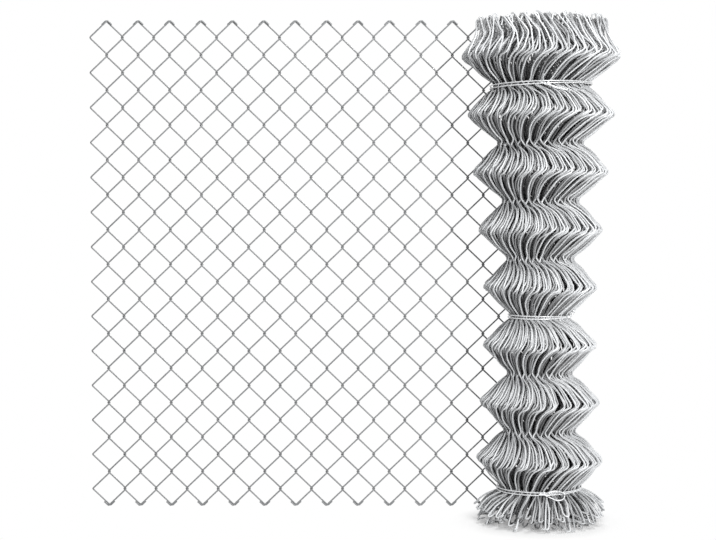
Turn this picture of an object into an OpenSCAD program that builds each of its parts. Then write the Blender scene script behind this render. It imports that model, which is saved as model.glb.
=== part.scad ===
// Roll of galvanised chain-link fencing that stands on its end, with a length of mesh drawn off it.
// Millimetres, +Z up. The roll's axis is the Z axis, and the roll and the mesh stand on Z = 0.

/* [Mesh] */
// Diameter of the fence wire
wire_d = 3.1; // [2:0.1:4]
// Width of one diamond, corner to corner
diamond_w = 64.3; // [50:0.1:80]
// Height of one diamond, corner to corner
diamond_h = 71.4; // [55:0.2:90]
// Rows of diamonds from the bottom edge to the top edge
diamond_rows = 14; // [9:1:18]
// Clearance where two wires hook round each other
link_gap = 0.3; // [0.2:0.05:0.6]
// Bend radius of a turned-over wire end, at the wire's middle
knuckle_r = 2.5; // [2:0.5:6]
// Straight tail after the bend of a turned-over wire end
knuckle_tail = 10; // [5:1:18]
// How far a wire end passes the line where it crosses its neighbour before it turns over
knuckle_lap = 0.5; // [0.5:0.5:4]

/* [Drawn-off length] */
// Wires in the flat length of mesh that stands beside the roll
flat_wires = 29; // [10:1:40]
// How far the flat length reaches past the roll's axis
sheet_past = 30.5; // [0:0.5:60]
// Clearance between the mesh and the widest part of the roll
sheet_gap = 0.3; // [0.2:0.1:1]

/* [Roll] */
// How much lower the pleated roll stands than the flat mesh
roll_drop = 15; // [0:1:60]
// Bulges between the bottom flare and the top
bulge_count = 8; // [6:1:10]
// Radius of the widest bulge, at the top
top_bulge_r = 155; // [140:1:180]
// Radius of the bulges beside the middle tie
mid_bulge_r = 111; // [100:1:130]
// Radius of the lowest bulge
bottom_bulge_r = 124; // [110:1:140]
// Radius of the flare at the bottom, where the wire ends turn down
flare_r = 135; // [120:1:150]
// Radius of the crown at the top
crown_r = 135; // [120:1:140]
// How far the wire ends turn in again at the top and on the floor
end_turn_in = 12; // [4:1:20]
// Radius of the top waist
top_waist_r = 97; // [90:1:110]
// Radius of the waist under the middle tie
mid_waist_r = 60; // [50:1:80]
// Radius of the bottom waist
bottom_waist_r = 81; // [70:1:95]
// Height of the bottom waist above the floor
flare_h = 69; // [50:1:90]
// Height of the crown, from the widest bulge to the top
crown_h = 76; // [60:1:100]
// Height of the upright wire ends at the top
crown_rim_h = 40; // [20:1:50]
// Height of the turned-in wire ends at the top
crown_turn_h = 14; // [5:1:18]
// Height of the turned-down wire ends at the bottom
flare_turn_h = 36; // [10:1:40]
// Height of the rounded edge of a bulge
bulge_edge_h = 7; // [3:1:12]
// Turns of mesh from the bore to the outside
turns = 8; // [4:1:12]
// Depth of the groove between two turns, on the ends
turn_groove = 5; // [2:0.5:8]
// Radius of the open middle of the roll
bore_r = 30; // [20:1:40]

/* [Ties] */
// Diameter of the tie wire
tie_d = 2.5; // [1.5:0.1:3.5]
// Clearance between a tie and the waist it lies in
tie_gap = 0.3; // [0.2:0.1:0.8]
// Lengths of the twisted ends of the top, middle and bottom ties
tail_lengths = [54, 18, 36]; // [10:1:70]
// Bearings from the front where the three twists start, in degrees
tail_bearings = [-3, 72, 0]; // [-90:1:90]
// Angles of the three twists below level, in degrees
tail_droops = [15, -35, 3]; // [-45:1:45]
// Angles of the three twists away from the ring, in degrees
tail_swings = [18, 40, 18]; // [12:1:90]

/* [Hidden] */
wire_names = [for (i = [1 : flat_wires]) str("mesh_wire_", i < 10 ? "0" : "", i)];
tie_names = ["tie_wire_top", "tie_wire_middle", "tie_wire_bottom"];

galvanised = [0.62, 0.64, 0.66];
bright_tie = [0.74, 0.75, 0.76];
$fn = 32;
bend_sides = 4;
bend_steps = 3;

// Each wire is a flattened spiral: its straights lie in two layers, one in front of the other, and
// at each bend it passes from layer to layer, hooked round the bend of the neighbouring wire.
half_rows = 2 * diamond_rows;
wire_pitch = diamond_w / 2;
layer = (wire_d + link_gap) / 2;
slope = acos(2 * layer / norm([diamond_h / 2, wire_pitch])) - atan2(wire_pitch, diamond_h / 2);
// How far a bend reaches past the line where two wires meet
reach = layer / sin(slope);
// A wire end runs past its neighbour, turns over and comes back beside it
knuckle_crest = knuckle_r * (cos(slope / bend_steps) - cos(slope)) + wire_d / 2;
knuckle_rise = (knuckle_lap - reach) * tan(slope) + knuckle_crest;
fence_h = half_rows * diamond_h / 2 + 2 * knuckle_rise;

// The drawn-off mesh leaves the roll at the back, where the roll is widest
widest_r = max(top_bulge_r, mid_bulge_r, bottom_bulge_r, flare_r, crown_r);
sheet_y = widest_r + sheet_gap + layer + wire_d / 2;

// Waists are numbered from the bottom, and each bulge stands above the waist of its number
roll_h = fence_h - roll_drop;
bulge_pitch = (roll_h - flare_h - crown_h) / (bulge_count - 0.5);
mid_waist = floor((bulge_count - 1) / 2);
waist_land = 2 * tie_d + 2 * tie_gap;
tie_waists = [bulge_count - 1, mid_waist, 0];
strand_step = 0.92 * tie_d;
// How far outside the ring's own strands the twist of a tie starts
twist_step = 0.4 * strand_step;

function mix(a, b, t) = a + (b - a) * t;
function waist_z(k) = flare_h + k * bulge_pitch;
function bulge_z(k) = flare_h + (k + 0.5) * bulge_pitch;
function waist_r(k) = k < mid_waist
    ? mix(mid_waist_r, bottom_waist_r, (mid_waist - k) / mid_waist)
    : mix(mid_waist_r, top_waist_r, (k - mid_waist) / (bulge_count - 1 - mid_waist));
function bulge_r(k) = k < mid_waist
    ? mix(mid_bulge_r, bottom_bulge_r, (mid_waist - 1 - k) / (mid_waist - 1))
    : mix(mid_bulge_r, top_bulge_r, (k - mid_waist) / (bulge_count - 1 - mid_waist));

// Outline of an end of the roll from radius a to radius b, with a groove between neighbouring turns
function end_outline(a, b, z, depth) =
    let (step = (b - a) / turns, half = step / 6)
    [for (i = [1 : turns - 1], p = [[-half, 0], [0, depth], [half, 0]]) [a + i * step + p[0], z + p[1]]];

function roll_outline() = concat(
    [[bore_r, 0]],
    end_outline(bore_r, flare_r - end_turn_in, 0, turn_groove),
    [[flare_r - end_turn_in, 0], [flare_r, flare_turn_h]],
    [for (k = [0 : bulge_count - 1], p = [
        [waist_r(k), waist_z(k) - waist_land / 2],
        [waist_r(k), waist_z(k) + waist_land / 2],
        [bulge_r(k), bulge_z(k) - bulge_edge_h / 2],
        [bulge_r(k), bulge_z(k) + bulge_edge_h / 2]]) p],
    [[crown_r, roll_h - crown_rim_h], [crown_r, roll_h - crown_turn_h]],
    [[crown_r - end_turn_in, roll_h]],
    end_outline(crown_r - end_turn_in, bore_r, roll_h, -turn_groove),
    [[bore_r, roll_h]]);

module mesh_roll() {
    color(galvanised) rotate_extrude() polygon(roll_outline());
}

function unit(v) = v / norm(v);
function last(list) = list[len(list) - 1];
function reversed(list) = [for (i = [len(list) - 1 : -1 : 0]) list[i]];

// Offset of corner i of a line to its left, so that both pieces that meet there keep the wire's width
function mitre(line, i) =
    let (
        before = unit(line[max(i, 1)] - line[max(i, 1) - 1]),
        after = unit(line[min(i, len(line) - 2) + 1] - line[min(i, len(line) - 2)]),
        middle = unit(before + after))
    wire_d / 2 / (middle * after) * [-middle[1], middle[0]];

// Outline of a flat strip, as wide as the wire, along a line
function strip(line) = concat(
    [for (i = [0 : len(line) - 1]) line[i] + mitre(line, i)],
    reversed([for (i = [0 : len(line) - 1]) line[i] - mitre(line, i)]));

// The points of a turned-over wire end, past the point p that the wire reaches along dir
function knuckle(p, dir) =
    let (
        side = dir[0] * dir[1] > 0 ? [dir[1], -dir[0]] : [-dir[1], dir[0]],
        start = p + (knuckle_lap - reach) / cos(slope) * dir,
        bend = [for (j = [0 : bend_steps]) let (turn = 2 * slope * j / bend_steps)
            start + knuckle_r * (sin(turn) * dir + (1 - cos(turn)) * side)])
    concat(bend, [last(bend) + knuckle_tail * [dir[0], -dir[1]]]);

// Straight number i of a wire, counted from the bottom, starts at bend number i. A straight that climbs
// to the right lies in the front layer, and one that climbs to the left behind it.
function climbs_right(i, first) = (i + first) % 2 == 0;
function bend_place(i, first) =
    [climbs_right(i, first) ? -reach : wire_pitch + reach, knuckle_rise + i * diamond_h / 2];
function straight(i, first) =
    let (
        low = bend_place(i, first),
        high = [wire_pitch - low[0], low[1] + diamond_h / 2],
        dir = unit(high - low))
    concat(
        i == 0 ? reversed(knuckle(low, -dir)) : [low - wire_d / 2 * dir],
        i == half_rows - 1 ? knuckle(high, dir) : [high + wire_d / 2 * dir]);

// One wire, between x = 0 and x = wire_pitch. first is 0 where its lowest straight climbs to the
// right, and 1 where it climbs to the left.
module spiral_wire(first) {
    rotate([90, 0, 0]) {
        for (i = [0 : half_rows - 1])
            translate([0, 0, (climbs_right(i, first) ? layer : -layer) - wire_d / 2])
                linear_extrude(wire_d) polygon(strip(straight(i, first)));
        for (i = [1 : half_rows - 1])
            translate(concat(bend_place(i, first), -layer))
                cylinder(h = 2 * layer, d = wire_d, $fn = bend_sides);
    }
}

// Wire number i of the drawn-off mesh, counted from its free end to the roll
module mesh_wire(i) {
    color(galvanised)
        translate([sheet_past - (flat_wires - i) * wire_pitch, sheet_y, 0])
            spiral_wire((i + 1) % 2);
}

// Section of two strands of tie wire, side by side
module strands() {
    for (side = [-1, 1]) translate([0, side * strand_step / 2]) circle(d = tie_d);
}

// A tie goes twice round a waist, and its two ends lead off together beside the ring
module tie_wire(n) {
    k = tie_waists[n];
    ring_r = waist_r(k) + tie_gap + tie_d / 2;
    color(bright_tie) translate([0, 0, waist_z(k)]) {
        rotate_extrude() translate([ring_r, 0]) strands();
        rotate([0, 0, tail_bearings[n]])
            translate([0, -ring_r - twist_step, 0])
                rotate([0, 90 + tail_droops[n], -tail_swings[n]])
                    linear_extrude(tail_lengths[n]) strands();
    }
}

mesh_roll();
for (n = [0 : len(tie_names) - 1]) tie_wire(n);
for (i = [0 : len(wire_names) - 1]) mesh_wire(i);
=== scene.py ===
# %% [markdown]
# # A roll of chain-link fencing
#
# Chain-link is woven from flattened spiral wires, each hooked round the next. Pulled out, it is a flat
# sheet of diamonds. Pushed together along its length and rolled up, the same wires stand side by side as
# pleats: every second bend of a wire lies in a narrow waist and the bends between them stand out as bulges.
# This file dresses the CAD model of such a roll, with a length of mesh drawn off it.

# %% Load the frame
import math

import bpy
import numpy as np
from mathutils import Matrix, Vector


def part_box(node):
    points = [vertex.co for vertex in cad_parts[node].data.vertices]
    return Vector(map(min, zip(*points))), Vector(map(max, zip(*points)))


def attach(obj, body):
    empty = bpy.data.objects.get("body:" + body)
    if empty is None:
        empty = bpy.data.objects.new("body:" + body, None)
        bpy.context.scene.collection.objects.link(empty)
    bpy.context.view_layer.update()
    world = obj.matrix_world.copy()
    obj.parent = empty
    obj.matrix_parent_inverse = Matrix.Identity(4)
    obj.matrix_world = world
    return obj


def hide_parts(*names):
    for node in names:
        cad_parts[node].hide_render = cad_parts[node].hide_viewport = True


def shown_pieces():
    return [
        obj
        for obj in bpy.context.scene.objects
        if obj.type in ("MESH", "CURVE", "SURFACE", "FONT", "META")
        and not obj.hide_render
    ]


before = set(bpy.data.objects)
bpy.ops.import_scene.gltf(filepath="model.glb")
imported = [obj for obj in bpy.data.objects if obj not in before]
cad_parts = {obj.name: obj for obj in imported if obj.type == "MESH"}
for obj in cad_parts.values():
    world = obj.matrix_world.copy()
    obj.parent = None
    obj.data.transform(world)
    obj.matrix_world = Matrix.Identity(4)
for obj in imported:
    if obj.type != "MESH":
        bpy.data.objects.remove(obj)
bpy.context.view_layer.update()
mm = 0.001

# %% [markdown]
# ## From a line to a wire
#
# Every piece here is wire, so each one starts as a line. A ring and a spiral have formulas. Any other line
# is drawn by this helper: it takes the places where the wire turns and rounds each corner, as a bending
# tool does. A Bezier curve could do that too, but corners that are cut at a known length keep closer to the
# CAD model's sizes.

# %% The line of a bent wire
LONGEST_CUT = 0.48


def bent_line(stations, steps):
    """A line through stations of x, y, z and a cut. A corner with a cut is rounded, that far on both sides,
    but never past the middle of the straight beside it."""
    points = np.array(stations)[:, :3]
    cuts = [station[3] for station in stations]
    line = [points[0]]
    for before, corner, after, cut in zip(points, points[1:], points[2:], cuts[1:]):
        if cut == 0:
            line.append(corner)
            continue
        to_before = before - corner
        to_after = after - corner
        start = corner + to_before * min(cut / np.linalg.norm(to_before), LONGEST_CUT)
        end = corner + to_after * min(cut / np.linalg.norm(to_after), LONGEST_CUT)
        for t in np.linspace(0, 1, steps):
            line.append((1 - t) ** 2 * start + 2 * t * (1 - t) * corner + t * t * end)
    line.append(points[-1])
    return np.array(line)


# %% [markdown]
# A second helper gives lines their round section. A circle could be extruded from point to point, but a
# curve with a round bevel is quicker, because Blender carries the section round each corner. The curve is
# then converted, so that the finished piece is a plain mesh with its place in its points. Each wire also
# gets one random number in an attribute, which the finish uses to tell neighbouring wires apart.

# %% Wires along lines
SEED = 14
CAPS = 2
MERGE_BELOW = 0.01 * mm
SMOOTH_BELOW = math.radians(50)

rng = np.random.default_rng(SEED)


def wires(name, lines, diameter, extra_sides):
    """One mesh of round wires along several lines, with a random shade for each wire."""
    curve = bpy.data.curves.new(name, "CURVE")
    curve.dimensions = "3D"
    curve.bevel_depth = diameter / 2
    curve.bevel_resolution = extra_sides
    curve.use_fill_caps = True
    for line in lines:
        spline = curve.splines.new("POLY")
        spline.points.add(len(line) - 1)
        spline.points.foreach_set("co", np.column_stack([line, np.ones(len(line))]).ravel())
    piece = bpy.data.objects.new(name, curve)
    bpy.context.collection.objects.link(piece)
    bpy.ops.object.select_all(action="DESELECT")
    piece.select_set(True)
    bpy.context.view_layer.objects.active = piece
    bpy.ops.object.convert(target="MESH")
    sides = 4 + 2 * extra_sides
    shades = np.repeat(rng.random(len(lines)), [sides * (len(line) + CAPS) for line in lines])
    piece.data.attributes.new("wire_shade", "FLOAT", "POINT").data.foreach_set("value", shades)
    bpy.ops.object.mode_set(mode="EDIT")
    bpy.ops.mesh.select_all(action="SELECT")
    bpy.ops.mesh.remove_doubles(threshold=MERGE_BELOW)
    bpy.ops.object.mode_set(mode="OBJECT")
    bpy.ops.object.shade_smooth_by_angle(angle=SMOOTH_BELOW)
    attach(piece, "root")
    return piece


# %% [markdown]
# ## The drawn-off mesh
#
# Each wire of the sheet is a flattened spiral. Seen from above it goes round and round a narrow slot: along
# the front, round a tight half circle, back behind, and round again, and it climbs all the while. The half
# circles of one wire hook into those of the next. A flat zigzag would look much the same from the front,
# but the true spiral also shows from the side how the wires hold each other.

# %% Sizes of the mesh
WIRE_D = 3.1 * mm
LINK_GAP = 0.3 * mm
ROWS = 14
HALF_ROW = 71.4 / 2 * mm

wire_nodes = sorted(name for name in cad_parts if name.startswith("mesh_wire"))
first_low, first_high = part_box(wire_nodes[0])
fence_h = first_high.z
wire_pitch = (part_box(wire_nodes[2])[0].x - first_low.x) / 2
sheet_y = (first_low.y + first_high.y) / 2
layer = (WIRE_D + LINK_GAP) / 2
climb = HALF_ROW / (wire_pitch + math.pi * layer)
edge_h = (fence_h - 2 * ROWS * HALF_ROW) / 2
print(len(wire_nodes), "wires at a pitch of", round(wire_pitch / mm, 2), "mm, fence height", round(fence_h, 4))

# %% [markdown]
# At the top and bottom edges the wire end is turned over and comes back beside its neighbour, which makes
# the doubled peaks of the sheet's edge. The turn is an arc, so it is worked out from its middle and its
# radius.

# %% A turned-over wire end
KNUCKLE_R = 2.2 * mm
KNUCKLE_LAP = 0.2 * mm
KNUCKLE_TAIL = 10 * mm
BEND_STEPS = 6


def knuckle(x, z, side, up, y):
    """The turned-over end of a wire that crosses its neighbour at x, z, on its way to a side (1 is right)."""
    angle = math.atan(climb)
    start = np.array([x + side * KNUCKLE_LAP, z + up * KNUCKLE_LAP * climb])
    middle = start + KNUCKLE_R * np.array([side * math.sin(angle), -up * math.cos(angle)])
    points = []
    for turn in np.linspace(-angle, angle, BEND_STEPS):
        points.append(middle + KNUCKLE_R * np.array([side * math.sin(turn), up * math.cos(turn)]))
    points.append(points[-1] + KNUCKLE_TAIL * np.array([side * math.cos(angle), -up * math.sin(angle)]))
    return [(px, y, pz) for px, pz in points]


# %% The line of one spiral wire
def spiral_line(ends_right):
    """Middle line of one wire between x = 0 and wire_pitch. Its ends turn over on the right or the left."""
    line = []
    for bend in range(1, 2 * ROWS):
        on_right = (bend % 2 == 0) == ends_right
        side = 1 if on_right else -1
        middle = wire_pitch if on_right else 0
        for turn in np.linspace(-math.pi / 2, math.pi / 2, BEND_STEPS):
            line.append((middle + side * layer * math.cos(turn), side * layer * math.sin(turn),
                         edge_h + bend * HALF_ROW + layer * turn * climb))
    side = 1 if ends_right else -1
    crossing = wire_pitch if ends_right else 0
    rise = climb * wire_pitch
    foot = knuckle(crossing, line[0][2] - rise, side, -1, line[0][1])
    head = knuckle(crossing, line[-1][2] + rise, side, 1, line[-1][1])
    return np.array(foot[::-1] + line + head)


# %% Make the sheet
SHEET_PAST = 30.5 * mm

for number, node in enumerate(wire_nodes):
    place = np.array([SHEET_PAST - (len(wire_nodes) - number) * wire_pitch, sheet_y, 0])
    line = spiral_line(ends_right=number % 2 == 0) + place
    piece = wires(f"spiral_wire_{number + 1:02d}", [line], WIRE_D, extra_sides=2)
    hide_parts(node)
print("spiral wires of", len(piece.data.polygons), "faces each")

# %% [markdown]
# ## The roll
#
# The rolled-up wires are the same wires pushed together. The roll could be a turned body with wires drawn
# on it, but its pleats are deep and one sees in between them, so every wire is modelled. Each one goes in
# and out between the waists and the bulges as it climbs. The waists are narrowest under the middle tie, and
# the bulges grow from there to both ends.

# %% Waists and bulges
BULGES = 8
MIDDLE = (BULGES - 1) // 2
TOP = BULGES - 1
FLARE_H = 69 * mm
CROWN_H = 76 * mm
WAIST_R = {0: 81 * mm, MIDDLE: 60 * mm, TOP: 97 * mm}
TOP_BULGE_R = 155 * mm
MIDDLE_BULGE_R = 111 * mm
BOTTOM_BULGE_R = 124 * mm

roll_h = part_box("mesh_roll")[1].z
bulge_pitch = (roll_h - FLARE_H - CROWN_H) / (BULGES - 0.5)


def mix(a, b, t):
    return a + (b - a) * t


def waist_r(k):
    far = 0 if k < MIDDLE else TOP
    return mix(WAIST_R[MIDDLE], WAIST_R[far], abs(k - MIDDLE) / abs(far - MIDDLE))


def bulge_r(k):
    if k < MIDDLE:
        return mix(MIDDLE_BULGE_R, BOTTOM_BULGE_R, (MIDDLE - 1 - k) / (MIDDLE - 1))
    return mix(MIDDLE_BULGE_R, TOP_BULGE_R, (k - MIDDLE) / (TOP - MIDDLE))


def waist_z(k):
    """Height of waist k. A share of a pitch may be added to k, so k + 0.5 is the bulge above that waist."""
    return FLARE_H + k * bulge_pitch


print("roll height", round(roll_h, 4), "bulge pitch", round(bulge_pitch / mm, 1), "mm")

# %% [markdown]
# A wire of the roll is a list of stations, each put in place by its radius, its angle round the roll and
# its height. One pleat could be copied all round, but no two pleats of a real roll are alike, so the
# stations are jittered a little, with a fixed seed. The radius only ever gets smaller, so the roll keeps
# its outline.

# %% Stations of a rolled-up wire
BORE_R = 30 * mm
UNDER_PARTNER = 4.5 * mm
DRIFT = 0.12
JITTER_IN = 0.9 * mm
JITTER_ROUND = 0.14
JITTER_UP = 3 * mm

wire_r = WIRE_D / 2


class RolledWire:
    """One wire, a share depth of the way from the bore out, at an angle round the roll. Its partner is the
    neighbour on the right (1) or the left (-1) that it hooks at the bulges. A tucked wire lies under it."""

    def __init__(self, depth, angle, spacing, partner, tucked):
        self.depth = depth
        self.angle = angle
        self.spacing = spacing
        self.partner = partner
        self.back = UNDER_PARTNER if tucked else 0
        self.drift = rng.normal(0, DRIFT) * spacing
        self.stations = []

    def put(self, radius, turn, z, cut=0.0, loose=0.0):
        """Adds a station where the outside of the wire is at a radius. Loose is its share of the jitter."""
        radius -= wire_r + abs(rng.normal(0, JITTER_IN)) * loose
        turn += self.drift + rng.normal(0, JITTER_ROUND) * self.spacing * loose
        z = min(max(z + rng.normal(0, JITTER_UP) * loose, wire_r), roll_h - wire_r)
        self.stations.append((radius * math.cos(turn), radius * math.sin(turn), z, cut))

    def to_partner(self, share):
        """The angle that is a share of the way to the partner."""
        return self.partner * share * self.spacing

    def waist(self, k):
        """The radius of waist k at this wire's depth."""
        return mix(BORE_R + WIRE_D, waist_r(k), self.depth)


# %% [markdown]
# Below the bottom tie the wire ends spread into a flare. They are hooks that have come apart from each
# other and turn to the left or the right, some on the floor and some a little above it. Copies of one hook
# would look combed, so each has its own sizes, and a random number between 0 and 1 says how far it is
# raised.

# %% The end on the floor
FLARE_R = 135 * mm
FLARE_BORE_R = BORE_R + 24 * mm
FLARE_TURN_H = 36 * mm
END_TURN_IN = 12 * mm
FOOT_LEAN = math.radians(4)
FOOT_UNEVEN = 2 * mm
FOOT_SWAY = 6 * mm
FOOT_HOOK_W = (4 * mm, 8 * mm)
FOOT_HOOK_IN = (0, 3 * mm)
FOOT_TIP_IN = (9 * mm, 15 * mm)
FOOT_TIP_UP = (1 * mm, 6 * mm)
FOOT_TIP_PAST = 1.3
HOOK_CUT = 4 * mm
LEG_OUT = 0.62
LEG_ROUND = 0.6
LEG_DOWN = 0.45
LEG_CUT = 16 * mm


def add_foot(wire):
    """The turned-in tip, the hook and the leg that leads up to the bottom waist."""
    raised = rng.uniform(0, 1)
    rim_r = FLARE_R - END_TURN_IN * (1 - raised)
    foot_r = mix(FLARE_BORE_R, rim_r, wire.depth) - abs(rng.normal(0, FOOT_UNEVEN))
    foot_z = wire_r + raised * (FLARE_TURN_H - WIRE_D)
    foot = wire.angle - FOOT_LEAN + rng.normal(0, FOOT_SWAY) / foot_r
    hook = rng.choice([-1, 1]) * rng.uniform(*FOOT_HOOK_W) / foot_r
    tip_r = foot_r - rng.uniform(*FOOT_TIP_IN)
    wire.put(tip_r, foot + FOOT_TIP_PAST * hook, foot_z + rng.uniform(*FOOT_TIP_UP))
    wire.put(foot_r - rng.uniform(*FOOT_HOOK_IN), foot + hook, foot_z, HOOK_CUT)
    wire.put(foot_r, foot, foot_z, HOOK_CUT)
    leg_r = mix(wire.waist(0), foot_r, LEG_OUT)
    wire.put(leg_r, mix(wire.angle, foot, LEG_ROUND), mix(waist_z(0), foot_z, LEG_DOWN), LEG_CUT, 1)


# %% [markdown]
# A bulge stands well to the right of the waist below it, and the waist above comes back most of that way.
# So the pleats lie over like the pages of a fan, and the whole roll is twisted a little. At every bulge a
# wire hooks its partner, the neighbour on one side of it. On the two outer turns, which show most, it also
# meets its other neighbour just below each waist, and its partner again just above. A straight zigzag would
# look like folded paper, so each flank has two more stations that bow it.

# %% The pleats
LEAN = math.radians(21)
LEAN_BACK = math.radians(18)
# Each flank station has its share of the way up to the next waist, of the way out from the waist to the
# bulge, of the lean, and of the way to the partner
LOWER_FLANK = ((0.24, 0.48, 0.28, 0.14), (0.42, 0.84, 0.60, 0.20))
UPPER_FLANK = ((0.64, 0.72, 1.02, 0.10), (0.83, 0.34, 0.84, 0.00))
BULGE_CLOSE = 0.20
BULGE_CROWDING = 0.4
WAIST_APART = 0.42
WAIST_HOOK_H = 5 * mm
BULGE_CUT = 12 * mm
WAIST_CUT = 5 * mm
FLANK_CUT = 16 * mm
ROUND_LOSS = 0.35
WAIST_LOOSE = 0.4
FLANK_LOOSE = 0.6


def add_pleats(wire, hooked_waists):
    """Waist, flank, bulge and flank, from the bottom up. Gives the angle of the top bulge."""
    turn = wire.angle
    waist_sides = (-1, 1) if hooked_waists else (0,)
    for k in range(BULGES):
        above = min(k + 1, TOP)
        waist = wire.waist(k)
        next_waist = wire.waist(above)
        stands_out = bulge_r(k) - (waist_r(k) + waist_r(above)) / 2
        bulge = mix((waist + next_waist) / 2 + stands_out, bulge_r(k), BULGE_CROWDING)
        crest = turn + LEAN
        for side in waist_sides:
            wire.put(waist - ROUND_LOSS * WAIST_CUT - max(0, side * wire.back),
                     turn + wire.to_partner(side * WAIST_APART),
                     waist_z(k) + side * WAIST_HOOK_H, WAIST_CUT, WAIST_LOOSE)
        for rise, out, lean, close in LOWER_FLANK:
            wire.put(mix(waist, bulge, out) - wire.back, mix(turn, crest, lean) + wire.to_partner(close),
                     waist_z(k + rise), FLANK_CUT, FLANK_LOOSE)
        wire.put(bulge + ROUND_LOSS * BULGE_CUT, crest + wire.to_partner(BULGE_CLOSE),
                 waist_z(k + 0.5), BULGE_CUT, 1)
        if k < TOP:
            turn = crest - LEAN_BACK
            for rise, out, lean, close in UPPER_FLANK:
                wire.put(mix(next_waist, bulge, out), mix(turn, crest, lean) + wire.to_partner(close),
                         waist_z(k + rise), FLANK_CUT, FLANK_LOOSE)
    return crest


# %% [markdown]
# Above the top bulge the wires stand almost upright and form a crown. There each one swings to its other
# neighbour, and its end is a hook that turns back to its partner's side and points down. A straight cut
# would be simpler, but the hooks make the uneven edge that such a roll has at the top.

# %% The end at the top
CROWN_R = 135 * mm
CROWN_BORE_R = BORE_R + 20 * mm
CROWN_RIM_H = 40 * mm
CROWN_LEAN = math.radians(12)
RIM_ROUND = 0.1
RIM_CUT = 10 * mm
HEAD_SWAY = 5 * mm
HEAD_UNEVEN = 6 * mm
HEAD_IN = 5 * mm
HEAD_HOOK_W = (5 * mm, 9 * mm)
HEAD_HOOK_IN = 9 * mm
HEAD_TIP_IN = 8 * mm
HEAD_TIP_DOWN = (10 * mm, 16 * mm)
HEAD_TIP_PAST = 1.4
HEAD_LOOSE = 0.5


def add_head(wire, crest):
    """The rim of the crown, the hook and the tip that points down, above a top bulge at the angle crest."""
    crown_r = mix(CROWN_BORE_R, CROWN_R, wire.depth)
    head = crest - CROWN_LEAN + rng.normal(0, HEAD_SWAY) / crown_r
    hook = wire.partner * rng.uniform(*HEAD_HOOK_W) / crown_r
    high = roll_h - wire_r - abs(rng.normal(0, HEAD_UNEVEN))
    rim = mix(crest, head, RIM_ROUND) + wire.to_partner(-WAIST_APART)
    wire.put(crown_r - wire.back, rim, roll_h - CROWN_RIM_H, RIM_CUT, 1)
    wire.put(crown_r - HEAD_IN, head, high, HOOK_CUT, HEAD_LOOSE)
    wire.put(crown_r - HEAD_HOOK_IN, head + hook, high, HOOK_CUT, HEAD_LOOSE)
    wire.put(crown_r - HEAD_TIP_IN, head + HEAD_TIP_PAST * hook, high - rng.uniform(*HEAD_TIP_DOWN))


# %% [markdown]
# Seen from above, a spiral carries the wires from the bore to the outside in eight turns, with more wires
# in each turn than in the one inside it. The wires go in groups of four, and the first and the last of a
# group are tucked under their partners. The two outer turns get rounder corners, because they show most.

# %% Lines of all the turns
TURNS = 8
INNER_WIRES = 30
OUTER_WIRES = 60
GROUP = 4
TUCKED = (0, 3)
ON_TOP = (1, 2)
INSIDE_DEPTH = 0.92
OUTSIDE_DEPTH = 0.96
PLAIN_STEPS = 2
OUTER_STEPS = {TURNS - 2: 3, TURNS - 1: 4}

turn_lines = []
for turn in range(TURNS):
    count = round(mix(INNER_WIRES, OUTER_WIRES, turn / (TURNS - 1)))
    lines = []
    for i in range(count):
        share = (i + 1) / count
        depth = INSIDE_DEPTH * (turn + share) / (TURNS - 1)
        if turn == TURNS - 1:
            depth = mix(OUTSIDE_DEPTH, 1, share)
        angle = math.pi / 2 - 2 * math.pi * (1 - share)
        partner = 1 if i % 2 == 0 else -1
        wire = RolledWire(depth, angle, 2 * math.pi / count, partner, i % GROUP in TUCKED)
        add_foot(wire)
        crest = add_pleats(wire, turn in OUTER_STEPS)
        add_head(wire, crest)
        lines.append(bent_line(wire.stations, OUTER_STEPS.get(turn, PLAIN_STEPS)))
    turn_lines.append(lines)
print("wires in each turn, from the bore out:", [len(lines) for lines in turn_lines])

# %% [markdown]
# The zinc is left as it is on the outside and at the top. The turns inside get painted shade: a dark grey
# mixed into their colour where shade falls deep in the roll, most of all under the bulges, less in the flare
# and least on the upper sides, and the core is dark all over. The tucked wires of the outside turn have some
# painted shade under the bulges too. It could be painted by hand, but the height of a point above the waist
# below it already tells whether it lies under a bulge, so an attribute is worked out from that.

# %% Painted shade between the turns
UNSHADED_TOP = 10 * mm
NEAR_FLOOR = 0.45
# A phase runs from 0 at a waist to 1 at the next. Under is 1 below a bulge and 0 above it.
PHASES = (0, 0.36, 0.46, 0.97, 1)
UNDER = (1, 1, 0, 0, 1)


def mark_painted_shade(piece, under_bulges, upper_sides):
    """Writes to each point how much painted shade darkens it, from 0 to 1."""
    points = np.empty(len(piece.data.vertices) * 3)
    piece.data.vertices.foreach_get("co", points)
    z = points[2::3]
    phase = (z - FLARE_H) / bulge_pitch % 1
    under = np.where(z < FLARE_H, NEAR_FLOOR, np.interp(phase, PHASES, UNDER))
    from_top = np.clip((roll_h - z) / UNSHADED_TOP, 0, 1)
    dust = mix(upper_sides, under_bulges, under) * from_top
    piece.data.attributes.new("dust", "FLOAT", "POINT").data.foreach_set("value", dust)


# %% Make the roll
CORE_TURNS = 3


def outside_wires(places):
    """The wires of the outside turn that have these places in their groups."""
    return sum((turn_lines[-1][place::GROUP] for place in places), [])


# The lines of each layer, the painted shade under its bulges and the painted shade on its upper sides
layers = {
    "rolled_wires_outer": (outside_wires(ON_TOP), 0.0, 0.0),
    "rolled_wires_tucked": (outside_wires(TUCKED), 0.45, 0.0),
    "rolled_wires_second": (turn_lines[-2], 0.80, 0.10),
    "rolled_wires_inner": (sum(turn_lines[CORE_TURNS:-2], []), 1.0, 0.40),
    "rolled_wires_core": (sum(turn_lines[:CORE_TURNS], []), 1.0, 1.0),
}
for name, (lines, under_bulges, upper_sides) in layers.items():
    piece = wires(name, lines, WIRE_D, extra_sides=1)
    mark_painted_shade(piece, under_bulges, upper_sides)
    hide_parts("mesh_roll")
    print(piece.name, len(lines), "wires,", len(piece.data.polygons), "faces")

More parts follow.
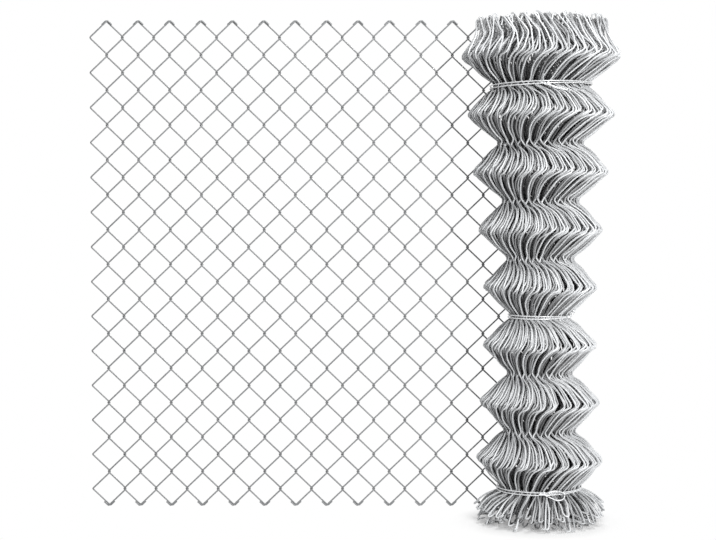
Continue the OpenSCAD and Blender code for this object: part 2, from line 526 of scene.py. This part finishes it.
# %% [markdown]
# ## The ties
#
# Three ties hold the roll. Each is a double strand of thinner, brighter wire that lies in a waist. The two
# strands part on one side and come together where their ends are twisted. A strand could be a plain torus,
# but a real one rides over the wires beneath it, so it is drawn as a slightly wavy ring.

# %% A strand round a waist
TIE_D = 2.5 * mm
RING_POINTS = 97
WAVES = (3, 5, 9)
WAVE_H = 0.4 * mm
CLOSEST = 0.45
PARTING = math.radians(-140)


def ring(radius, z, gap, tilt):
    """A closed ring of wire that follows the uneven wires under it. It lies a whole gap from z at the angle
    PARTING and less elsewhere, and it rises by tilt on the right."""
    line = []
    phases = rng.uniform(0, 2 * math.pi, len(WAVES))
    for a in np.linspace(0, 2 * math.pi, RING_POINTS):
        bumps = sum(math.sin(n * a + phase) / n for n, phase in zip(WAVES, phases))
        apart = gap * mix(CLOSEST, 1, max(0, math.cos(a - PARTING)))
        r = radius + abs(bumps) * WAVE_H
        line.append((r * math.cos(a), r * math.sin(a), z + apart + tilt * math.cos(a) + bumps * WAVE_H))
    return np.array(line)


# %% [markdown]
# A twist is two lines that wind round one another along a short path, half a turn apart. The path is a few
# listed points in front of the waist. The top and middle ties end in a twist that stands off, and the bottom
# one in a short knot with an open eye beside it.

# %% Twisted ends
TWIST_R = 0.52 * TIE_D
TWIST_STEPS = 12
SPLAY_FROM = 0.8


def path_beside(k, *places):
    """Points in front of waist k. Each place is an x, a rise and a clearance from the ring, in mm."""
    points = []
    for x, rise, clear in np.array(places) * mm:
        radius = waist_r(k) + TIE_D + clear
        points.append(np.array([x, -math.sqrt(radius ** 2 - x ** 2), waist_z(k) + rise]))
    return points


def twist(path, turns, splay):
    """Two strands wound round a path of points, which part a little at their tips."""
    strands = []
    for offset in (0, math.pi):
        line = []
        for t in np.linspace(0, 1, TWIST_STEPS * turns + 1):
            place = t * (len(path) - 1)
            i = min(int(place), len(path) - 2)
            axis = path[i + 1] - path[i]
            across = np.cross(axis, [0, 0, 1])
            across /= np.linalg.norm(across)
            upright = np.cross(across, axis) / np.linalg.norm(axis)
            a = 2 * math.pi * turns * t + offset
            r = TWIST_R + splay * max(0, t - SPLAY_FROM)
            line.append(path[i] + axis * (place - i) + r * (across * math.cos(a) + upright * math.sin(a)))
        strands.append(np.array(line))
    return strands


# %% Make the ties
STRAND_GAP = 2.8 * mm
SPLAY = 12 * mm
EYE_CUT = 6 * mm
EYE_STEPS = 4

top_tail = path_beside(TOP, (-12, -1, 0.5), (1, -5, 2), (15, -11, 8), (29, -14, 12), (43, -16, 15))
middle_tail = path_beside(MIDDLE, (48, 0, 0.5), (55, 3, 3), (61, 8, 7), (63, 13, 10))
bottom_knot = path_beside(0, (-9, -0.5, 1.2), (-2, 0, 1.2), (5, 0.5, 1.2))
bottom_eye = path_beside(0, (2, 1, 1), (12, 6, 4), (26, 7, 6), (41, 1, 7),
                         (37, -9, 14), (24, -11, 13), (10, -5, 6), (0, -1, 1.5))
eye_line = bent_line([(*point, EYE_CUT) for point in bottom_eye], EYE_STEPS)
# The waist of each tie, how far it tilts, and the lines of its ends
ties = {
    "tie_wire_top": (TOP, 3 * mm, twist(top_tail, turns=4, splay=SPLAY)),
    "tie_wire_middle": (MIDDLE, 0, twist(middle_tail, turns=2, splay=SPLAY)),
    "tie_wire_bottom": (0, 1 * mm, twist(bottom_knot, turns=3, splay=0) + [eye_line]),
}
for node, (k, tilt, ends) in ties.items():
    strands = [ring(waist_r(k) + TIE_D / 2, waist_z(k), gap, tilt) for gap in (-STRAND_GAP, STRAND_GAP)]
    tie = wires(node.replace("wire", "strands"), strands + ends, TIE_D, extra_sides=2)
    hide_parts(node)
    print(tie.name, len(tie.data.polygons), "faces")

# %% [markdown]
# ## Finishes
#
# A finish is a tree of shader nodes. The nodes could be placed by hand in the editor, but in a script they
# are shorter as Python sums. One small class makes a node from its kind, its settings and what goes into
# its sockets, and another stands for the number that comes out of it.

# %% Shader sums
class Nodes:
    """The nodes of a material or of the world."""

    def __init__(self, owner):
        owner.use_nodes = True
        self.tree = owner.node_tree
        self.tree.nodes.clear()

    def add(self, kind, settings, inputs, output=0):
        """Makes a node, fills or links its sockets, and gives one of its outputs, if it has any."""
        made = self.tree.nodes.new(kind)
        for key, setting in settings.items():
            setattr(made, key, setting)
        for key, value in inputs.items():
            if isinstance(value, Value):
                self.tree.links.new(value.socket, made.inputs[key])
            else:
                made.inputs[key].default_value = value
        return Value(self, made.outputs[output]) if made.outputs else None


class Value:
    """What comes out of a socket, with the sums that the finishes use."""

    def __init__(self, nodes, socket):
        self.nodes = nodes
        self.socket = socket

    def sum(self, operation, other):
        return self.nodes.add("ShaderNodeMath", {"operation": operation}, {0: self, 1: other})

    def __add__(self, other):
        return self.sum("ADD", other)

    __radd__ = __add__

    def __mul__(self, other):
        return self.sum("MULTIPLY", other)

    __rmul__ = __mul__

    def or_more(self, other):
        return self.sum("MAXIMUM", other)


# %% [markdown]
# Zinc on drawn wire is grey and half dull: it shines where it is smooth and has grey patches where it has
# oxidised. An image could show that, but it would have to be laid along every wire. Noise in Object
# coordinates goes through the whole roll, so it needs no layout. Each wire also has its own random grey from
# its attribute. Where the painted shade attribute is set, the colour is mixed with a dark grey: painted shade
# for the gaps deep in the roll and under the bulges. A piece without that attribute reads 0 and is not
# darkened.

# %% Galvanised wire
PATCHES_PER_M = 160.0
GRAINS_PER_M = 900.0
PATCH_SHARE = 0.45
GRAIN_SHARE = 0.15
WIRE_SHARE = 0.4
# The dark grey of the painted shade, and how far it covers the zinc where that shade is full
PAINTED_SHADE_GREY = (0.10, 0.10, 0.102)
PAINTED_SHADE_COVER = 0.94
PATCH_DULLNESS = 0.22
GRAIN_BUMP = 0.12
GRAIN_H = 0.4 * mm
SPECULAR = 0.08
# Numbers of the sockets that a Mix node uses for colours
FACTOR = 0
FIRST = 6
SECOND = 7
MIXED = 2


def galvanised(name, dark, light, roughness, metallic):
    """Zinc-coated wire whose grey runs from dark to light, with dull patches, darkened by painted shade."""
    material = bpy.data.materials.new(name)
    nodes = Nodes(material)
    place = nodes.add("ShaderNodeTexCoord", {}, {}, "Object")
    patches = nodes.add("ShaderNodeTexNoise", {}, {
        "Vector": place, "Scale": PATCHES_PER_M, "Detail": 3.0, "Roughness": 0.6}, "Fac")
    grain = nodes.add("ShaderNodeTexNoise", {}, {"Vector": place, "Scale": GRAINS_PER_M, "Detail": 2.0}, "Fac")
    own = nodes.add("ShaderNodeAttribute", {"attribute_name": "wire_shade"}, {}, "Fac")
    # This attribute holds the painted shade, from 0 to 1, which turns the colour towards the dark grey
    dust = nodes.add("ShaderNodeAttribute", {"attribute_name": "dust"}, {}, "Fac")
    shade = PATCH_SHARE * patches + GRAIN_SHARE * grain + WIRE_SHARE * own
    unshaded_zinc = nodes.add("ShaderNodeMix", {"data_type": "RGBA"}, {
        FACTOR: shade, FIRST: (*dark, 1), SECOND: (*light, 1)}, MIXED)
    colour = nodes.add("ShaderNodeMix", {"data_type": "RGBA"}, {
        FACTOR: PAINTED_SHADE_COVER * dust, FIRST: unshaded_zinc, SECOND: (*PAINTED_SHADE_GREY, 1)}, MIXED)
    bump = nodes.add("ShaderNodeBump", {}, {"Strength": GRAIN_BUMP, "Distance": GRAIN_H, "Height": grain})
    surface = nodes.add("ShaderNodeBsdfPrincipled", {}, {
        "Base Color": colour, "Metallic": metallic, "Roughness": roughness + PATCH_DULLNESS * patches,
        "Specular IOR Level": SPECULAR, "Normal": bump})
    nodes.add("ShaderNodeOutputMaterial", {}, {"Surface": surface})
    return material


# %% Dress the pieces
finishes = {
    "spiral": galvanised("dull_zinc", dark=(0.18, 0.185, 0.19), light=(0.30, 0.305, 0.31),
                         roughness=0.40, metallic=0.30),
    "rolled": galvanised("galvanised_zinc", dark=(0.40, 0.41, 0.42), light=(0.80, 0.81, 0.82),
                         roughness=0.44, metallic=0.12),
    "tie": galvanised("bright_tie_zinc", dark=(0.75, 0.76, 0.77), light=(0.90, 0.91, 0.92),
                      roughness=0.20, metallic=0.45),
}
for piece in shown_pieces():
    kind = piece.name.split("_")[0]
    piece.data.materials.clear()
    piece.data.materials.append(finishes[kind])

# %% [markdown]
# ## Floor, light and camera
#
# The photograph has a plain white ground with a faint shadow under the roll. Strong lamps could whiten the
# floor, but they would bleach the wires as well. So the floor is a pale plane that fades to plain white
# away from the roll, for the rays that come from the camera or by way of a shiny surface. Its far edge
# doesn't show.

# %% Floor
FLOOR_W = 30
FLOOR_GREY = 0.86
FADE_FROM = 0.10
FADE_TO = 0.18
WHITE_UNDER_ROLL = 0.3
WHITE = (1, 1, 1, 1)


def seen_directly(nodes):
    """1 for a ray from the camera, or by way of a shiny or a clear surface, and otherwise 0."""
    seen = nodes.add("ShaderNodeLightPath", {}, {}, "Is Camera Ray")
    for ray in ("Is Glossy Ray", "Is Transmission Ray"):
        seen = seen.or_more(nodes.add("ShaderNodeLightPath", {}, {}, ray))
    return seen


bpy.ops.mesh.primitive_plane_add(size=FLOOR_W, location=(0, 0, 0))
floor = bpy.context.object
floor.name = "floor"
floor_white = bpy.data.materials.new("floor_white")
nodes = Nodes(floor_white)
place = nodes.add("ShaderNodeTexCoord", {}, {}, "Object")
away = nodes.add("ShaderNodeVectorMath", {"operation": "LENGTH"}, {0: place}, "Value")
whiteness = nodes.add("ShaderNodeMapRange", {"interpolation_type": "SMOOTHSTEP"}, {
    "Value": away, "From Min": FADE_FROM, "From Max": FADE_TO, "To Min": WHITE_UNDER_ROLL, "To Max": 1.0})
matt = nodes.add("ShaderNodeBsdfDiffuse", {}, {"Color": (FLOOR_GREY, FLOOR_GREY, FLOOR_GREY, 1)})
white = nodes.add("ShaderNodeEmission", {}, {"Color": WHITE, "Strength": 1.0})
surface = nodes.add("ShaderNodeMixShader", {}, {0: whiteness * seen_directly(nodes), 1: matt, 2: white})
nodes.add("ShaderNodeOutputMaterial", {}, {"Surface": surface})
floor.data.materials.append(floor_white)
print("floor is plain white from", FADE_TO, "m off the roll's axis")

# %% [markdown]
# The world is white to the camera in the same way, and lights the wires only faintly. That keeps the gaps
# between them dark.

# %% World
AMBIENT = 0.11

world = bpy.data.worlds.new("studio")
bpy.context.scene.world = world
nodes = Nodes(world)
strength = AMBIENT + (1 - AMBIENT) * seen_directly(nodes)
sky = nodes.add("ShaderNodeBackground", {}, {"Color": WHITE, "Strength": strength})
nodes.add("ShaderNodeOutputWorld", {}, {"Surface": sky})
print("ambient light", AMBIENT)


# %% [markdown]
# Three soft boxes light the roll. One hangs above it, a second stands beside the camera and draws a thin
# bright line on every wire, and a third lights the back. Point lamps would be simpler, but a soft box has a
# size, so the shadows between the pleats have soft edges.

# %% Lamps
def soft_box(name, place, target, size, power):
    """A square area lamp at a place, turned to a target."""
    data = bpy.data.lights.new(name, "AREA")
    data.size = size
    data.energy = power
    box = bpy.data.objects.new(name, data)
    bpy.context.collection.objects.link(box)
    box.location = place
    aim = np.array(target) - np.array(place)
    tip = math.acos(-aim[2] / np.linalg.norm(aim))
    box.rotation_euler = (tip, 0, math.atan2(aim[1], aim[0]) - math.pi / 2)
    print(name, power, "W")


soft_box("overhead", place=(0, -1.1, 2.7), target=(0, 0, 0.4), size=0.8, power=42)
soft_box("front_key", place=(0.8, -3.0, 1.0), target=(0, 0, 0.5), size=0.6, power=90)
soft_box("back_fill", place=(0.3, 3.0, 1.7), target=(0, 0, 0.5), size=0.8, power=60)

# %% [markdown]
# The camera stands a little above the fourth bulge from the top, three metres in front of the roll's axis,
# and is tipped down slightly. Its lens and place follow from the sizes of the sheet and of the roll's two
# ends in the photograph.

# %% Camera
PHOTO_W = 716
PHOTO_H = 540
HORIZON_PX = 211
ROLL_PX = 540
ROLL_PX_PER_M = 512
CAMERA_BACK = 3.0
CAMERA_H = 0.61
SENSOR_W = 36

focal_px = ROLL_PX_PER_M * CAMERA_BACK
data = bpy.data.cameras.new("camera")
data.sensor_width = SENSOR_W
data.lens = focal_px * SENSOR_W / PHOTO_W
camera = bpy.data.objects.new("camera", data)
bpy.context.collection.objects.link(camera)
camera.location = ((PHOTO_W / 2 - ROLL_PX) / ROLL_PX_PER_M, -CAMERA_BACK, CAMERA_H)
camera.rotation_euler = (math.pi / 2 - math.atan((PHOTO_H / 2 - HORIZON_PX) / focal_px), 0, 0)
bpy.context.scene.camera = camera
bpy.context.scene.view_settings.view_transform = "Standard"
print("lens", round(data.lens, 1), "mm")
